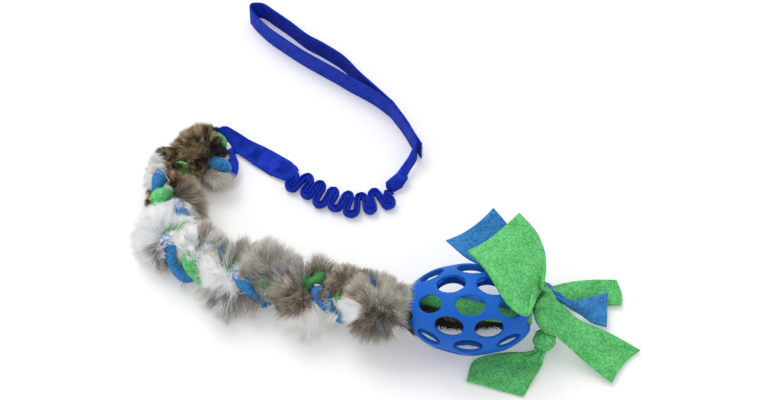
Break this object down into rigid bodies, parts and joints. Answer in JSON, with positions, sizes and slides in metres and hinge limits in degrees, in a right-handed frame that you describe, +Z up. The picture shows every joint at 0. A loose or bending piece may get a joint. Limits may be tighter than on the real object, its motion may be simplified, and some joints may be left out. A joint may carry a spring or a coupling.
{
  "type": "bungee tug toy",
  "caption": "Dog tug toy: webbing loop handle, ruched bungee, plaited fleece and fur braid, hollow lattice rubber ball and fleece tails.",
  "frame": {"origin": "centre of the bounding box, on the surface the toy lies on", "axes": "+X from the braid's outer bend towards the fleece tails, +Y towards the handle's far end, +Z up"},
  "size_m": [0.488, 0.4646, 0.0928],
  "materials": {
    "royal_blue_webbing": "woven, matt, heat sealed at the cut end",
    "blue_thread": "twisted sewing thread",
    "black_elastic": "covered elastic cord",
    "blue_fleece": "brushed anti-pill fleece, matt",
    "green_fleece": "brushed anti-pill fleece, matt",
    "rabbit_fur": "long natural fur on a thin skin, agouti brown, grey, cream and white",
    "blue_rubber": "satin moulded rubber"
  },
  "bodies": {
    "braid_front": {"blue_strand_front": "blue_fleece", "green_strand_front": "green_fleece", "fur_strand_front": "rabbit_fur", "blue_strand_bend": "blue_fleece", "green_strand_bend": "green_fleece", "fur_strand_bend": "rabbit_fur"},
    "braid_rear": {"blue_strand_rear": "blue_fleece", "green_strand_rear": "green_fleece", "fur_strand_rear": "rabbit_fur"},
    "ball": {"ball": "blue_rubber", "blue_strand_in_ball": "blue_fleece", "green_strand_in_ball": "green_fleece", "fur_strand_in_ball": "rabbit_fur", "upper_knot": "green_fleece", "lower_knot": "green_fleece", "blue_knot": "blue_fleece"},
    "tab": {"tab_top_webbing": "royal_blue_webbing", "tab_under_webbing": "royal_blue_webbing", "eye_webbing": "royal_blue_webbing", "tab_front_stitch": "blue_thread", "tab_eye_stitch": "blue_thread", "bungee_sleeve": "royal_blue_webbing", "elastic_core": "black_elastic"},
    "bungee_end": {"rear_webbing": "royal_blue_webbing"},
    "handle": {"handle_webbing": "royal_blue_webbing", "handle_base_stitch": "blue_thread", "handle_neck_stitch": "blue_thread"},
    "green_tail_top": {"green_tail_top": "green_fleece"},
    "blue_tail_back": {"blue_tail_back": "blue_fleece"},
    "green_tail_long": {"green_tail_long": "green_fleece"},
    "blue_tail_right": {"blue_tail_right": "blue_fleece"},
    "green_tail_back": {"green_tail_back": "green_fleece"},
    "green_tail_low": {"green_tail_low": "green_fleece"}
  },
  "joints": [
    {"name": "braid_bend", "type": "hinge", "parent": "braid_front", "child": "braid_rear", "pos_m": [-0.17858, -0.0964, 0.02346], "axis": [0, 0, 1], "range_deg": [-35, 12], "deforming": ["blue_strand_bend", "green_strand_bend", "fur_strand_bend"]},
    {"name": "ball_swing", "type": "hinge", "parent": "braid_rear", "child": "ball", "pos_m": [0.01171, -0.15704, 0.04426], "axis": [0, 0, 1], "range_deg": [-16, 16], "deforming": ["blue_strand_in_ball", "green_strand_in_ball", "fur_strand_in_ball"]},
    {"name": "tab_lift", "type": "hinge", "parent": "braid_front", "child": "tab", "pos_m": [-0.17985, 0.03865, 0.01826], "axis": [0, -1, 0], "range_deg": [0, 60], "deforming": ["eye_webbing"]},
    {"name": "bungee_stretch", "type": "slide", "parent": "tab", "child": "bungee_end", "axis": [0.9793, -0.2024, 0], "range_m": [0, 0.12], "stiffness_N_per_m": 60, "deforming": ["bungee_sleeve", "elastic_core"]},
    {"name": "handle_swing", "type": "hinge", "parent": "bungee_end", "child": "handle", "pos_m": [0.03557, 0.04754, 0.00026], "axis": [0, 0, 1], "range_deg": [-40, 0]},
    {"name": "green_tail_top_lift", "type": "hinge", "parent": "ball", "child": "green_tail_top", "pos_m": [0.1462, -0.15069, 0.05685], "axis": [0.7794, 0.6265, 0], "range_deg": [0, 35]},
    {"name": "blue_tail_back_swing", "type": "hinge", "parent": "ball", "child": "blue_tail_back", "pos_m": [0.14355, -0.12995, 0.04095], "axis": [0.6819, 0.7314, 0], "range_deg": [-25, 5]},
    {"name": "green_tail_long_lift", "type": "hinge", "parent": "ball", "child": "green_tail_long", "pos_m": [0.1601, -0.15931, 0.03916], "axis": [-0.5085, -0.8611, 0], "range_deg": [0, 40]},
    {"name": "blue_tail_right_lift", "type": "hinge", "parent": "ball", "child": "blue_tail_right", "pos_m": [0.15849, -0.13693, 0.03168], "axis": [0.0006, -1, 0], "range_deg": [0, 25]},
    {"name": "green_tail_back_swing", "type": "hinge", "parent": "ball", "child": "green_tail_back", "pos_m": [0.15202, -0.13246, 0.02622], "axis": [0, 0, 1], "range_deg": [0, 25]},
    {"name": "green_tail_low_swing", "type": "hinge", "parent": "ball", "child": "green_tail_low", "pos_m": [0.14644, -0.18638, 0.01378], "axis": [0, 0, 1], "range_deg": [0, 30]}
  ]
}
